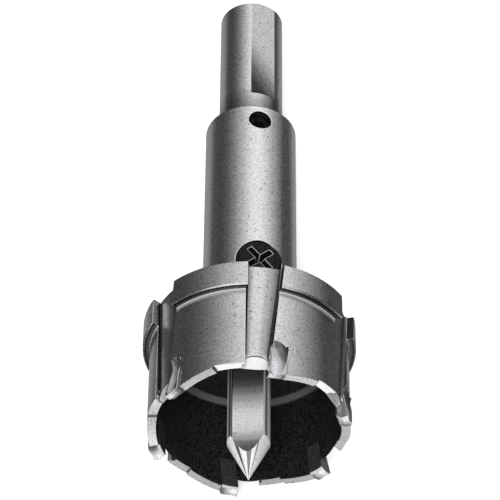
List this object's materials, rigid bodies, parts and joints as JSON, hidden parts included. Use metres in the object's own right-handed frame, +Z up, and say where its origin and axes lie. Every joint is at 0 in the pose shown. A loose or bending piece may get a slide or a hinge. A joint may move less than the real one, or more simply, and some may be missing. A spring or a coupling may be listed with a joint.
{
  "type": "hole cutter",
  "caption": "Carbide-tipped hole cutter: a fluted steel cup under a stop flange, with a centre pilot drill, a hub with side screws and a round shank.",
  "frame": {"origin": "centre of the bounding box at floor level, with the tool lying as it rests", "axes": "+Z up. The tool's own axis lies in the YZ plane, shank end towards +Y and down, pilot point towards -Y and up, tilted 9.2 degrees"},
  "size_m": [0.04, 0.1172, 0.0422],
  "materials": {
    "cutter_steel": "turned and ground, satin",
    "shank_steel": "ground, satin",
    "drill_steel": "ground, bright",
    "carbide": "ground carbide, fine",
    "black_screw": "black oxide, slightly oily"
  },
  "bodies": {
    "root": {"cutter_body": "cutter_steel", "shank": "shank_steel", "pilot_drill": "drill_steel", "pilot_screw": "black_screw", "shank_set_screw": "black_screw", "carbide_tip_1": "carbide", "carbide_tip_2": "carbide", "carbide_tip_3": "carbide", "carbide_tip_4": "carbide", "carbide_tip_5": "carbide", "carbide_tip_6": "carbide"}
  },
  "joints": []
}
